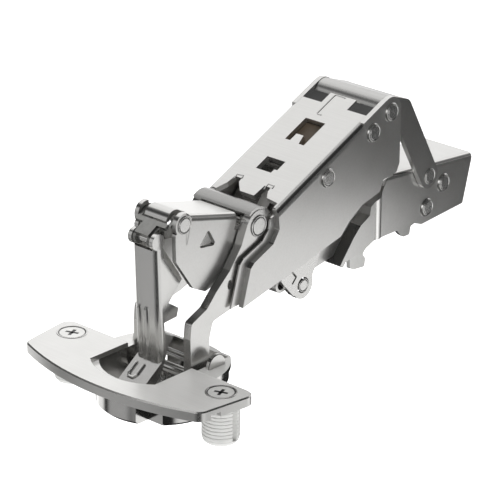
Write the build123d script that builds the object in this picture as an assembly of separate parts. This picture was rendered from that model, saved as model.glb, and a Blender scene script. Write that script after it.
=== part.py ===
from build123d import *
import math
import os

# Concealed cup hinge with a wide opening angle, drawn half open as it hangs on a cabinet door.
# The origin is on the cup's axis at the door's face. +Z points out of the door, +Y runs
# from the cup towards the base arm, and all pivots are parallel to X. Sizes are in millimetres.

# Clearances
side_gap = 0.2
pin_gap = 0.05
seat_gap = 0.1

# Flange that lies on the door
flange_height = 2.6
flange_sheet = 1.3
flange_half_length = 33.2
flange_taper = 2.5
flange_front = 23.8
flange_front_radius = 79.0
flange_corner_radius = 3.0
flange_edge = 0.35
rim_notch_width = 3.0
rim_notch_height = 1.2

# Screw pattern in the flange
screw_inset = 7.2
screw_spacing = 2 * (flange_half_length - screw_inset)
screw_offset = 5.5
screw_head_radius = 3.5
screw_shank_radius = 1.9
screw_length = 9.5
screw_recess_depth = 0.7
screw_cross_length = 3.6
screw_cross_width = 0.9
screw_cross_depth = 0.9

# Nylon dowels
dowel_radius = 4.8
dowel_length = 10.6
dowel_groove_depth = 0.4
dowel_groove_pitch = 1.6
dowel_slot_width = 0.6
dowel_tip = 1.2

# Cup that sits in the door
collar_radius = 17.9
cup_radius = collar_radius - 0.5
cup_lower_radius = collar_radius - 1.5
cup_guide_depth = 3.0
cup_depth = 9.6
cup_sheet = 0.9
cup_edge = 0.8
guide_drop = 0.2
pocket_half_width = 11.3
pocket_front_radius = cup_lower_radius - 1.0
pocket_back = 13.0
spring_radius = 1.8
spring_length = 8.5
spring_offset = 4.6
step_inner = 6.2
step_outer = 11.8
step_back = 10.8
step_top = 3.6

# Ends of the pins in the cup
pin_hold = 1.0
cup_front_pin_half = math.sqrt(cup_lower_radius**2 - 12.0**2) - 0.8
cup_rear_pin_half = pocket_half_width + pin_hold

# Sheet thicknesses of the links
arm_sheet = 1.5
liner_sheet = 0.5
outer_lever_sheet = 2.4
front_link_sheet = 1.3
bridge_sheet = 1.0
inner_lever_sheet = 1.2
rear_link_sheet = 1.5
base_sheet = 1.4
control_sheet = 1.6

# Half widths, from the outside of the hinge inwards
arm_half = 12.4
liner_half = arm_half - arm_sheet
outer_lever_half = liner_half - liner_sheet - 2 * side_gap - seat_gap
front_link_half = outer_lever_half - outer_lever_sheet - 2 * side_gap
bridge_half = front_link_half - front_link_sheet - side_gap
inner_lever_half = 4.25
bridge_low_half = inner_lever_half - inner_lever_sheet - seat_gap
rear_link_half = liner_half - side_gap
base_half = rear_link_half - rear_link_sheet - side_gap
catch_sheet = 1.2
nose_step = 1.0
base_nose_half = base_half - base_sheet - catch_sheet - nose_step
front_roll_half = 3.7
control_half = base_nose_half + control_sheet + side_gap

# Pivots as distances along Y and Z
cup_front_pivot = (-12.0, -4.6)
cup_rear_pivot = (4.2, -2.4)
bridge_top = (1.3, 39.4)
bridge_bottom = (-5.0, 35.8)
front_pivot = (25.5, 33.0)
arm_pivot = (49.0, 40.1)
control_top = (66.8, 47.8)
rear_top = (74.0, 51.6)
rear_bottom = (93.3, 28.0)
control_bottom = (46.2, 9.6)
base_rivet_high = (101.5, 23.5)
base_rivet_low = (94.6, 18.2)
nose_eye = (39.6, 11.0)

# Pins
cup_pin_radius = 1.4
link_pin_radius = 1.9
small_pin_radius = 1.0
head_height = 0.5
pin_head_radius = 2.6
bridge_eye_radius = 3.1
control_pin_radius = 1.6
open_pivot_gap = 0.6
nose_eye_radius = 2.1
eye_sheet = 0.8

# Bead pressed out of each side of the base arm
bead_radius = 2.0
bead_height = 0.45
bead_place = 74.2

# Top plate of the main arm
arm_front = (30.2, 36.4)
arm_slope = 24.3
arm_bend_radius = 1.8
sheet_bend_radius = 1.6
tongue_end = 42.9
insert_start = 38.8
insert_length = 3.4
insert_inner = 4.4


def yz_plane(x):
    """Return the plane across X at one place, with its axes along Y and Z."""
    return Plane.YZ.offset(x)


def slope_point(along, down=0.0):
    """Return the Y and Z of a place along the main arm's top plate."""
    angle = math.radians(arm_slope)
    y = arm_front[0] + along * math.cos(angle) + down * math.sin(angle)
    z = arm_front[1] + along * math.sin(angle) - down * math.cos(angle)
    return (y, z)


def slope_plane(along=0.0, down=0.0):
    """Return a plane across the main arm, with its second axis pointing down through it."""
    angle = math.radians(arm_slope)
    y, z = slope_point(along, down)
    return Plane(origin=(0, y, z), x_dir=(1, 0, 0), z_dir=(0, math.cos(angle), math.sin(angle)))


def side_plate(outline, outer, sheet):
    """Return one plate on the +X side from its outline in Y and Z."""
    return extrude(yz_plane(outer - sheet) * outline, amount=sheet)


def both_sides(solid):
    """Return a solid and its mirror image across the hinge's middle plane."""
    return solid + mirror(solid, about=Plane.YZ)


def prism(outline, half):
    """Return an outline in Y and Z drawn out to the same distance on both sides."""
    return extrude(yz_plane(0) * outline, amount=half, both=True)


def disc(centre, radius):
    """Return a round face in Y and Z."""
    return Pos(centre[0], centre[1]) * Circle(radius)


def bar(start, end, start_radius, end_radius):
    """Return the outline of a link with a round end about each of two points."""
    return make_hull((disc(start, start_radius) + disc(end, end_radius)).edges())


def polygon(points):
    """Return a face through points in Y and Z."""
    return make_face(Polyline(*points, close=True))


def pin(centre, radius, half):
    """Return a plain pin across the hinge about a pivot."""
    return prism(disc(centre, radius), half)


def riveted_pin(centre, radius, half):
    """Return a pin with a low riveted head on each end, outside the plates."""
    head = side_plate(disc(centre, pin_head_radius), half + head_height, head_height)
    edge = head.faces().sort_by(Axis.X)[-1].edges()
    head = chamfer(edge, head_height * 0.6)
    return pin(centre, radius, half) + both_sides(head)


def channel(half, sheet, depth, radius, plane, length):
    """Return a U channel, open downwards, drawn out from a plane across it."""
    outer = Pos(0, depth / 2) * Rectangle(2 * half, depth)
    outer = fillet(outer.vertices().group_by(Axis.Y)[0], radius)
    inner = Pos(0, (depth + sheet) / 2) * Rectangle(2 * (half - sheet), depth - sheet)
    inner = fillet(inner.vertices().group_by(Axis.Y)[0], max(radius - sheet, 0.2))
    return extrude(plane * (outer - inner), amount=length)


def flange_outline():
    """Return the plan of the flange with its curved front edge."""
    side = math.sqrt(flange_front_radius**2 - (flange_half_length - flange_taper) ** 2)
    corner = flange_front - flange_front_radius + side
    right_back = (flange_half_length, 0)
    left_back = (-flange_half_length, 0)
    right_front = (flange_half_length - flange_taper, -corner)
    left_front = (-right_front[0], -corner)
    front = ThreePointArc(right_front, (0, -flange_front), left_front)
    sides = Polyline(left_front, left_back, right_back, right_front)
    plan = make_face(front + sides)
    return fillet(plan.vertices(), flange_corner_radius)


def pocket_outline(half_width, front_radius, back):
    """Return the plan of the cup's pocket, round in front and straight at the sides."""
    sides = Pos(0, (back - front_radius) / 2) * Rectangle(2 * half_width, back + front_radius)
    front = Circle(front_radius) + Pos(0, back / 2) * Rectangle(2 * front_radius, back)
    return sides & front


def build_flange():
    """Return the flange plate with its turned-down rim, screw seats and open middle."""
    plan = flange_outline()
    flange = extrude(plan, amount=flange_height)
    top_edges = flange.faces().sort_by(Axis.Z)[-1].edges()
    flange = chamfer(top_edges, flange_edge)
    hollow = extrude(offset(plan, -flange_sheet), amount=flange_height - flange_sheet)
    flange = flange - hollow
    seat_height = flange_height - flange_sheet
    for side in (-1, 1):
        place = Pos(side * screw_spacing / 2, -screw_offset, 0)
        flange = flange + place * extrude(Circle(dowel_radius + flange_sheet), amount=seat_height)
    mouth = pocket_outline(pocket_half_width, collar_radius - side_gap, flange_front)
    flange = flange - extrude(mouth, amount=flange_height)
    cheek = Pos(0, 0, seat_height / 2) * Cylinder(collar_radius + seat_gap, seat_height)
    flange = flange - cheek
    for side in (-1, 1):
        place = Pos(side * screw_spacing / 2, -screw_offset, 0)
        flange = flange - place * extrude(Circle(screw_shank_radius), amount=flange_height)
        recess = Pos(0, 0, flange_height - screw_recess_depth)
        seat = extrude(Circle(screw_head_radius + seat_gap), amount=screw_recess_depth)
        flange = flange - place * recess * seat
    notch = Box(2 * flange_sheet, rim_notch_width, rim_notch_height)
    notch_place = Pos(flange_half_length - flange_taper, -0.55 * flange_front, rim_notch_height / 2)
    return flange - notch_place * notch


def build_screw(side):
    """Return a countersunk screw with a cross in its head."""
    head = Cylinder(screw_head_radius, screw_recess_depth)
    head = chamfer(head.faces().sort_by(Axis.Z)[-1].edges(), 0.2)
    shank = Pos(0, 0, -screw_length / 2) * Cylinder(screw_shank_radius, screw_length)
    tip = shank.faces().sort_by(Axis.Z)[0].edges()
    shank = chamfer(tip, screw_shank_radius * 0.5)
    screw = Pos(0, 0, screw_recess_depth / 2) * head + shank
    bar_box = Box(screw_cross_length, screw_cross_width, 2 * screw_cross_depth)
    cross = bar_box + Rot(0, 0, 90) * bar_box
    screw = screw - Pos(0, 0, screw_recess_depth) * Rot(0, 0, 20) * cross
    return Pos(side * screw_spacing / 2, -screw_offset, flange_height - screw_recess_depth) * screw


def build_dowel(side):
    """Return a grooved dowel with a slot down one side."""
    body = Pos(0, 0, -dowel_length / 2) * Cylinder(dowel_radius, dowel_length)
    body = chamfer(body.faces().sort_by(Axis.Z)[0].edges(), dowel_tip)
    groove_ring = Cylinder(dowel_radius + 1, dowel_groove_pitch * 0.3)
    groove_ring = groove_ring - Cylinder(dowel_radius - dowel_groove_depth, dowel_groove_pitch)
    grooves = int((dowel_length - 2 * dowel_tip) / dowel_groove_pitch)
    for step in range(1, grooves):
        body = body - Pos(0, 0, -dowel_tip - step * dowel_groove_pitch) * groove_ring
    slot = Box(dowel_slot_width, dowel_radius, dowel_length)
    slot_place = Pos(dowel_radius * 0.45, -dowel_radius, -dowel_length / 2 - dowel_tip)
    body = body - slot_place * slot
    bore_depth = screw_length - flange_height + screw_recess_depth
    body = body - Pos(0, 0, -bore_depth / 2) * Cylinder(screw_shank_radius, bore_depth)
    return Pos(side * screw_spacing / 2, -screw_offset, 0) * body


def build_cup():
    """Return the cup with its collar, open pocket, back wall and the stepped front corner."""
    collar_height = flange_height - flange_sheet
    body = Pos(0, 0, collar_height / 2) * Cylinder(collar_radius, collar_height)
    low_front = (Align.CENTER, Align.MIN, Align.MIN)
    behind = Box(2 * pocket_half_width, collar_radius, flange_height, align=low_front)
    body = body - Pos(0, pocket_back + cup_sheet, 0) * behind
    guide_height = cup_guide_depth - guide_drop
    body = body + Pos(0, 0, -guide_drop - guide_height / 2) * Cylinder(cup_radius, guide_height)
    lower = Pos(0, 0, -cup_depth / 2) * Cylinder(cup_lower_radius, cup_depth)
    lower = chamfer(lower.faces().sort_by(Axis.Z)[0].edges(), cup_edge)
    body = body + lower
    pocket_plan = pocket_outline(pocket_half_width, pocket_front_radius, pocket_back)
    pocket_floor = cup_sheet - cup_depth
    pocket = extrude(Plane.XY.offset(pocket_floor) * pocket_plan, amount=cup_depth + flange_height)
    step_width = step_outer - step_inner
    step_depth = cup_depth - step_top
    step = Box(step_width, cup_radius, step_depth, align=(Align.MIN, Align.MAX, Align.MAX))
    step_corner = Pos(step_inner, -step_back, -step_top)
    skin_size = (step_width + 2 * cup_sheet, cup_radius, step_depth)
    skin = Box(*skin_size, align=(Align.MIN, Align.MAX, Align.MAX))
    skin_corner = Pos(step_inner - cup_sheet, -step_back + cup_sheet, -step_top + cup_sheet)
    pocket = pocket - skin_corner * skin
    cup = body - pocket - step_corner * step
    cup = cup - pin(cup_front_pivot, cup_pin_radius, cup_front_pin_half)
    return cup - pin(cup_rear_pivot, cup_pin_radius, cup_rear_pin_half)


def build_cup_spring(side):
    """Return one closing spring as the plain cylinder it fills on the floor of the cup."""
    floor = cup_sheet - cup_depth
    spring = Rot(90, 0, 0) * Cylinder(spring_radius, spring_length)
    return Pos(side * spring_offset, pocket_back - spring_length / 2, floor + spring_radius) * spring


def build_inner_lever():
    """Return the lever near the front of the cup, a channel with a foot bent forwards."""
    top = (-5.9, 34.4)
    knee = (-4.5, 2.6)
    toe = (-11.2, -2.1)
    back = [
        (-9.6, -6.4),
        (-3.6, 0.8),
        (-1.5, 6.6),
        (0.6, 8.9),
        (-2.7, 10.6),
        (-2.9, 13.6),
        (1.6, 13.9),
        (2.2, 16.2),
        (-1.3, 18.5),
        (3.4, 23.6),
        (2.4, 25.4),
        (-3.6, 34.2),
    ]
    outline = polygon([top, knee, toe, cup_front_pivot, *back])
    outline = outline + disc(bridge_bottom, 2.1) + disc(cup_front_pivot, 2.6)
    body = prism(outline, inner_lever_half)
    shin = math.dist(top, knee)
    bends = [edge for edge in body.edges() if abs(edge.length - shin) < 0.6 and abs(edge.center().X) > 1]
    body = fillet(bends, sheet_bend_radius)
    shin_in = inner_lever_sheet
    web_top = (top[0], top[1] - 1.0)
    sole_in = (toe[0] + 0.7, toe[1] - inner_lever_sheet)
    knee_in = (knee[0] + shin_in, knee[1] - 0.7)
    hollow = polygon(
        [
            (web_top[0] + shin_in, web_top[1]),
            knee_in,
            sole_in,
            (toe[0] - 0.6, toe[1] + 0.3),
            (toe[0] - 8.0, toe[1] + 0.3),
            (toe[0] - 8.0, -12.0),
            (12.0, -12.0),
            (12.0, 44.0),
            (-12.0, 44.0),
            (-12.0, web_top[1]),
        ]
    )
    lever = body - prism(hollow, inner_lever_half - inner_lever_sheet)
    lever = lever - pin(cup_front_pivot, cup_pin_radius + pin_gap, arm_half)
    return lever - pin(bridge_bottom, small_pin_radius, arm_half)


def build_bridge_link():
    """Return the small link with flared ears and a tongue between them."""
    reach_y = bridge_top[0] - bridge_bottom[0]
    reach_z = bridge_top[1] - bridge_bottom[1]
    reach = math.hypot(reach_y, reach_z)
    along = Plane(origin=(0, *bridge_bottom), x_dir=(1, 0, 0), z_dir=(0, reach_y, reach_z))
    low_middle = bridge_low_half - bridge_sheet / 2
    top_middle = bridge_half - bridge_sheet / 2
    low_end = [(low_middle, -3.0), (low_middle, reach * 0.32)]
    path = low_end + [(top_middle, reach * 0.6), (top_middle, reach + 4)]
    side = Plane(origin=(0, *bridge_bottom), x_dir=(1, 0, 0), z_dir=along.y_dir)
    half = bridge_sheet / 2
    joggle = [(x - half, -s) for x, s in path] + [(x + half, -s) for x, s in reversed(path)]
    ear = extrude(side * polygon(joggle), amount=8, both=True)
    outline = bar(bridge_bottom, bridge_top, 1.8, 1.9)
    ears = both_sides(ear & prism(outline, bridge_half))
    web_outline = Pos(0, -1.9) * Rectangle(2 * bridge_half - bridge_sheet, bridge_sheet)
    web = extrude(along.offset(3.0) * web_outline, amount=1.4)
    tongue = extrude(along.offset(-0.6) * Pos(0, -1.9) * Rectangle(4.6, bridge_sheet), amount=5.0)
    link = ears + web + tongue
    return link - pin(bridge_bottom, small_pin_radius + pin_gap, arm_half)


def build_front_link():
    """Return the three-cornered link, a channel with a flat top and a rolled front."""
    py, pz = bridge_top
    top_front = (3.4, 41.4)
    top_back = (20.6, 37.05)
    corners = [(-1.9, 37.4), (-1.6, 30.2), (4.6, 21.4), (9.0, 19.3), (13.2, 20.4), (27.5, 30.6)]
    outline = polygon([*corners, top_back, top_front])
    outline = fillet(outline.vertices(), 1.6)
    outline = outline + disc(bridge_top, bridge_eye_radius) + disc(front_pivot, 3.2)
    direction = (0, top_back[0] - top_front[0], top_back[1] - top_front[1])
    lean = Plane(origin=(0, *top_front), x_dir=(1, 0, 0), z_dir=direction)
    length = math.dist(top_front, top_back)
    start = lean.offset(0.6)
    body = channel(front_link_half, front_link_sheet, 25.0, sheet_bend_radius, start, length - 0.6)
    plates = both_sides(side_plate(outline, front_link_half, front_link_sheet))
    bend_side = [(2.0, 34.0), (2.0, 43.0), (23.0, 39.0), (23.0, 32.8), (19.4, 32.8), (19.4, 34.0)]
    corner = prism(polygon(bend_side), arm_half)
    link = (body & prism(outline, front_link_half)) + (plates - corner)
    roll = disc(bridge_top, bridge_eye_radius) - disc(bridge_top, bridge_eye_radius - front_link_sheet)
    fan = [bridge_top, (py - 3.5, pz + 1.0), (py - 1.5, pz + 6.0), (py + 6.0, pz + 4.2), (py + 5.0, pz)]
    roll = roll & polygon(fan)
    lip_end = top_front[0] + 1.6
    lip = polygon([(py + 0.6, pz + 3.0), (py + 0.6, pz + 1.75), (lip_end, 39.7), (lip_end, 41.0)])
    link = link + prism(roll + lip, front_roll_half)
    hole = polygon([(10.0, 35.8), (6.2, 31.6), (12.9, 30.8)])
    hole = fillet(hole.vertices(), 0.7)
    link = link - prism(hole, arm_half)
    link = link - pin(front_pivot, link_pin_radius + pin_gap, arm_half)
    return link - pin(bridge_top, link_pin_radius, arm_half)


def build_outer_lever():
    """Return the heavy lever with a foot in the cup, a knuckle and an arm under the main arm."""
    outline = polygon(
        [
            (21.6, 35.2),
            (19.2, 29.4),
            (15.0, 23.9),
            (10.0, 19.6),
            (6.6, 16.0),
            (1.0, 13.6),
            (0.6, 9.4),
            (0.9, -2.4),
            (7.4, -1.6),
            (7.6, 8.0),
            (8.8, 12.0),
            (15.6, 13.4),
            (33.0, 19.6),
            (43.0, 27.0),
            slope_point(20.8, 6.4),
            slope_point(18.0, 2.0),
            slope_point(0.0, 8.6),
            slope_point(-0.8, 7.4),
            slope_point(-0.8, 1.8),
        ]
    )
    outline = fillet(outline.vertices(), 1.2)
    outline = outline + disc(front_pivot, 4.2) + disc(cup_rear_pivot, 3.3) + disc(arm_pivot, 2.6)
    plates = both_sides(side_plate(outline, outer_lever_half, outer_lever_sheet))
    web_out = 5.0
    py, pz = front_pivot
    roll = disc(front_pivot, web_out) - disc(front_pivot, web_out - front_link_sheet)
    roll = roll & polygon([front_pivot, (py - 5.2, pz + 6.0), (py + 2.4, pz + 8.0), (py + 5.8, pz + 3.0)])
    lever = plates + prism(roll, outer_lever_half - side_gap)
    lever = lever - prism(Pos(14.9, 20.1) * Ellipse(0.8, 1.3), arm_half)
    for wire in ((5.0, 0.7), (6.6, 1.1)):
        lever = lever + prism(disc(wire, 0.45), outer_lever_half - side_gap)
    lever = lever - pin(front_pivot, link_pin_radius, arm_half)
    lever = lever - pin(cup_rear_pivot, cup_pin_radius + pin_gap, arm_half)
    return lever - pin(arm_pivot, link_pin_radius + pin_gap, arm_half)


def arm_outline():
    """Return the main arm's side view."""
    front_top = arm_front
    outline = polygon(
        [
            front_top,
            (30.7, 31.2),
            (28.4, 27.8),
            (21.3, 24.8),
            (20.0, 23.6),
            (17.2, 13.7),
            (54.9, 22.2),
            (58.4, 25.6),
            (63.2, 28.6),
            (70.4, 30.4),
            (71.4, 33.4),
            (77.0, 34.0),
            (78.1, 36.4),
            (78.1, 50.0),
            slope_point(46.2, 0.0),
        ]
    )
    outline = fillet(outline.vertices().sort_by(Axis.X)[1:], 0.9)
    return outline + disc(rear_top, 4.1)


def build_main_arm():
    """Return the main arm, a channel with a notched and windowed top plate."""
    outline = arm_outline()
    body = channel(arm_half, arm_sheet, 40.0, arm_bend_radius, slope_plane(-24), 90.0)
    arm = body & prism(outline, arm_half)
    plates = side_plate(outline, arm_half, arm_sheet) & Pos(0, 74, 45) * Box(60, 22, 30)
    arm = arm + both_sides(plates)
    left_notch = [(-10.0, -14), (-9.6, 0.4), (-8.1, 3.4), (-7.7, 6.2), (-5.4, 6.2), (-5.2, 4.8), (-2.6, 2.1)]
    right_notch = [(2.2, 2.1), (2.5, 6.2), (4.6, 6.2), (4.8, 4.8), (6.2, 2.7), (10.2, 2.2), (10.8, -14)]
    front = left_notch + right_notch
    low_window = [(-4.4, 15.8), (1.8, 15.8), (1.8, 12.3), (0.8, 12.3), (0.8, 10.9), (-4.4, 10.9)]
    high_window = [(-4.4, 32.1), (2.3, 32.1), (2.3, 22.9), (0.5, 22.9), (-0.3, 26.0), (-2.7, 26.0)]
    high_window = high_window + [(-2.7, 23.2), (-4.4, 23.2)]
    top = slope_plane(0)
    cutter = Plane(origin=top.origin, x_dir=(1, 0, 0), z_dir=top.y_dir)
    for points in (front, low_window, high_window):
        face = polygon([(x, -s) for x, s in points])
        arm = arm - extrude(cutter * face, amount=2.0)
    pocket_middle = (insert_inner + liner_half) / 2
    pocket = Pos(pocket_middle, -(insert_start + 10)) * Rectangle(liner_half - insert_inner, 20)
    end = Pos(0, -(tongue_end + 10)) * Rectangle(2 * liner_half, 20)
    for face in (pocket, mirror(pocket, about=Plane.YZ), end):
        arm = arm - extrude(cutter * face, amount=9.0, both=True)
    for pivot in (arm_pivot, control_top, rear_top):
        arm = arm - pin(pivot, link_pin_radius, 2 * arm_half)
    return arm


def build_liner():
    """Return the thin liner that shows in front of the main arm's front edge."""
    outline = polygon(
        [
            (28.8, 34.2),
            (28.4, 31.6),
            (25.9, 28.9),
            (18.9, 26.2),
            (17.6, 24.9),
            (14.3, 13.9),
            (18.0, 14.3),
            (40.0, 20.0),
            slope_point(12.0, arm_sheet + 0.5),
            slope_point(2.0, arm_sheet + 0.5),
        ]
    )
    outline = fillet(outline.vertices().sort_by(Axis.X)[1:7], 0.7)
    plates = both_sides(side_plate(outline, liner_half, liner_sheet))
    bend = arm_bend_radius - arm_sheet + pin_gap
    strap = channel(liner_half, liner_sheet, 6.0, bend, slope_plane(9.2, arm_sheet), 2.6)
    return plates + strap


def build_insert(side):
    """Return a plastic glide in the pocket at a rear corner of the main arm."""
    width = liner_half - insert_inner - 2 * seat_gap
    length = insert_length
    block = Box(width, 1.6, length, align=(Align.CENTER, Align.MIN, Align.MIN))
    plane = slope_plane(insert_start + seat_gap, 0.1)
    placed = plane.location * block
    shift = insert_inner + seat_gap + width / 2
    return Pos(side * shift, 0, 0) * placed


def build_damper():
    """Return the closing damper that hangs under the top plate's windows."""
    plane = slope_plane(21.6, arm_sheet)
    housing = Box(11.0, 3.4, 13.4, align=(Align.CENTER, Align.MIN, Align.MIN))
    return plane.location * housing


def build_rear_link():
    """Return the rear link, two bars joined by a web rolled round the top pin."""
    shoulder = (81.2, 49.4)
    outline = bar(rear_top, shoulder, 3.6, 3.6) + bar(shoulder, rear_bottom, 3.6, 3.5)
    bars = both_sides(side_plate(outline, rear_link_half, rear_link_sheet))
    roll = disc(rear_top, 4.0) - disc(rear_top, 4.0 - rear_link_sheet)
    py, pz = rear_top
    roll = roll & polygon([rear_top, (py - 6, pz - 1.5), (py - 4, pz + 6), (py + 1.5, pz + 6)])
    sy, sz = shoulder
    cap = polygon([(py + 0.4, pz + 4.0), (py + 0.4, pz + 2.5), (sy + 1.2, sz + 1.6), (sy + 1.6, sz + 3.2)])
    link = bars + prism(roll + cap, rear_link_half)
    link = link - pin(rear_top, link_pin_radius + pin_gap, arm_half)
    return link - pin(rear_bottom, link_pin_radius + pin_gap, arm_half)


def build_control_link():
    """Return the control link inside the main arm, two plates with a lobe at the lower end."""
    right = [(42.6, 7.4), (49.8, 8.8), (49.9, 11.6), (68.6, 45.4)]
    left = [(64.6, 46.2), (58.5, 41.0), (52.5, 31.5), (45.0, 24.0), (37.4, 13.2)]
    outline = polygon(right + left)
    outline = fillet(outline.vertices(), 1.0)
    outline = outline + disc(control_bottom, 3.8) + disc(control_top, 2.8)
    plates = both_sides(side_plate(outline, control_half, control_sheet))
    web = prism(polygon([(50.0, 24.0), (51.6, 24.0), (60.0, 38.0), (58.4, 38.0)]), control_half - 0.1)
    link = plates + web - pin(control_top, link_pin_radius + pin_gap, arm_half)
    bend = (43.4, 12.7)
    slot = bar((41.8, 14.6), bend, 0.3, 0.3) + bar(bend, (42.1, 11.3), 0.3, 0.3)
    link = link - both_sides(side_plate(slot, control_half, control_sheet / 2))
    return link - pin(control_bottom, control_pin_radius + open_pivot_gap, arm_half)


def build_base_arm():
    """Return the base arm, a wide channel stepped in at its front to a narrow nose with an eye."""
    top_front = (78.0, 32.0)
    top_back = (114.2, 28.7)
    front_edge = [(59.0, 11.7), (64.2, 18.0), (67.0, 20.7), (70.7, 22.5), (71.0, 24.8), (75.1, 27.1)]
    under = [(110.6, 14.9), (92.8, 13.7), (88.8, 15.2), (72.7, 14.9), (69.4, 13.6)]
    outline = polygon([top_back, *under, *front_edge, top_front])
    direction = (0, top_back[0] - top_front[0], top_back[1] - top_front[1])
    lean = Plane(origin=(0, *top_front), x_dir=(1, 0, 0), z_dir=direction)
    wide = channel(base_half, base_sheet, 24.0, sheet_bend_radius, lean.offset(-26), 66.0)
    arm = wide & prism(outline, base_half)
    set_back = (0.8 * base_sheet, -0.65 * base_sheet)
    back_edge = [(y + set_back[0], z + set_back[1]) for y, z in reversed(front_edge)]
    step = prism(polygon(front_edge + back_edge), base_half)
    arm = arm + (step - prism(outline, base_nose_half - base_sheet))
    nose_top = [(44.0, 16.0), (60.0, 21.0), (76.0, 28.0), (80.0, 30.5)]
    nose = polygon([(62.0, 13.4), (45.0, 10.6), *nose_top, (80.0, 15.4)])
    nose = nose + bar(nose_eye, (46.2, 12.6), nose_eye_radius, 2.2)
    arm = arm + both_sides(side_plate(nose, base_nose_half, base_sheet))
    eye = disc(nose_eye, nose_eye_radius) - disc(nose_eye, nose_eye_radius - eye_sheet)
    arm = arm + prism(eye, base_nose_half) - prism(disc(nose_eye, nose_eye_radius - eye_sheet), base_half)
    bulkhead = polygon([(76.0, 30.8), (76.0, 29.4), (80.0, 30.4), (80.0, 32.0)])
    arm = arm + prism(bulkhead, base_half - side_gap)
    bead = Pos(base_half - bead_radius + bead_height, bead_place, 0) * Cylinder(bead_radius, 80)
    bead = bead & side_plate(outline, base_half + 1, 1 + base_sheet / 2)
    arm = arm + both_sides(bead)
    for pivot in (rear_bottom, base_rivet_high, base_rivet_low):
        arm = arm - pin(pivot, link_pin_radius, arm_half)
    return arm - pin(control_bottom, control_pin_radius, arm_half)


def build_catch(side):
    """Return one catch plate inside the base arm, with two hooks below for a mounting plate."""
    outline = polygon(
        [
            (66.4, 17.4),
            (64.4, 12.6),
            (64.6, 8.8),
            (66.4, 8.0),
            (70.6, 7.6),
            (71.0, 9.9),
            (69.7, 11.4),
            (72.4, 14.0),
            (84.0, 14.0),
            (85.4, 12.4),
            (86.8, 11.4),
            (89.4, 11.3),
            (89.8, 13.6),
            (96.6, 15.4),
            (98.0, 18.2),
            (96.0, 21.4),
            (88.0, 20.0),
            (72.0, 20.4),
        ]
    )
    outline = fillet(outline.vertices(), 0.6)
    plate = side_plate(outline, base_half - base_sheet, catch_sheet)
    plate = plate - pin(base_rivet_low, link_pin_radius, arm_half)
    if side < 0:
        plate = mirror(plate, about=Plane.YZ)
    return plate


def build_bridge_rivet(side):
    """Return the short rivet that fills one eye at the front of the three-cornered link."""
    length = front_link_sheet + seat_gap
    rivet = side_plate(disc(bridge_top, link_pin_radius), front_link_half + seat_gap, length)
    rivet = chamfer(rivet.faces().sort_by(Axis.X)[-1].edges(), seat_gap)
    if side < 0:
        rivet = mirror(rivet, about=Plane.YZ)
    return rivet


parts = {}
parts["flange_plate"] = build_flange()
parts["cup_shell"] = build_cup()
for name, side in (("left", -1), ("right", 1)):
    parts[f"{name}_screw"] = build_screw(side)
    parts[f"{name}_dowel"] = build_dowel(side)
    parts[f"{name}_cup_spring"] = build_cup_spring(side)

parts["inner_lever"] = build_inner_lever()
parts["bridge_link"] = build_bridge_link()
parts["front_link"] = build_front_link()
parts["outer_lever"] = build_outer_lever()
parts["main_arm"] = build_main_arm()
parts["arm_liner"] = build_liner()
parts["damper"] = build_damper()
for name, side in (("left", -1), ("right", 1)):
    parts[f"{name}_glide"] = build_insert(side)
    parts[f"{name}_catch"] = build_catch(side)
    parts[f"{name}_bridge_rivet"] = build_bridge_rivet(side)
parts["rear_link"] = build_rear_link()
parts["control_link"] = build_control_link()
parts["base_arm"] = build_base_arm()
parts["cup_front_pin"] = pin(cup_front_pivot, cup_pin_radius, cup_front_pin_half)
parts["cup_rear_pin"] = pin(cup_rear_pivot, cup_pin_radius, cup_rear_pin_half)
parts["bridge_low_pin"] = pin(bridge_bottom, small_pin_radius, inner_lever_half)
parts["front_pin"] = pin(front_pivot, link_pin_radius, outer_lever_half + 0.15)
parts["arm_pin"] = riveted_pin(arm_pivot, link_pin_radius, arm_half)
parts["control_top_pin"] = riveted_pin(control_top, link_pin_radius, arm_half)
parts["rear_top_pin"] = riveted_pin(rear_top, link_pin_radius, arm_half)
parts["rear_bottom_pin"] = pin(rear_bottom, link_pin_radius, rear_link_half + 0.1)
parts["control_low_pin"] = pin(control_bottom, control_pin_radius, control_half + seat_gap)
parts["base_rivet_high"] = riveted_pin(base_rivet_high, link_pin_radius, base_half)
parts["base_rivet_low"] = riveted_pin(base_rivet_low, link_pin_radius, base_half)

os.makedirs("parts", exist_ok=True)
for node, shape in parts.items():
    export_step(shape, f"parts/{node}.step")
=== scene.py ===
"""Concealed cup hinge: plated finishes, fine pressed details, floor, studio light and camera."""

import logging
import math
from dataclasses import dataclass, field
from enum import Enum

import bmesh
import bpy
from mathutils import Matrix, Vector

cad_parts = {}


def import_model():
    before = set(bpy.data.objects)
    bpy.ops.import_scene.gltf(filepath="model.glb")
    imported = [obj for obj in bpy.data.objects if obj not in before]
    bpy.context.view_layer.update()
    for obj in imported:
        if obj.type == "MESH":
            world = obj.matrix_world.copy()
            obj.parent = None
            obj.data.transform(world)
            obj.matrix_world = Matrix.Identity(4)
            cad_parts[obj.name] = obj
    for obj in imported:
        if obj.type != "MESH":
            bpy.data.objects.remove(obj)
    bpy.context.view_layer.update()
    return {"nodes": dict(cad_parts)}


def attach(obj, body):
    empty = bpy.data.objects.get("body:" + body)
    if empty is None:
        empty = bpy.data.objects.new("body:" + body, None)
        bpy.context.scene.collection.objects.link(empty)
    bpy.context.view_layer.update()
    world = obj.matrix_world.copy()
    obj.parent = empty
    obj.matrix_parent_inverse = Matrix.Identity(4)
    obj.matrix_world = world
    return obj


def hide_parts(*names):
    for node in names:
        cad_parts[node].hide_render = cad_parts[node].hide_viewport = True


MM = 0.001
LOG = logging.getLogger("hinge")

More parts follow.
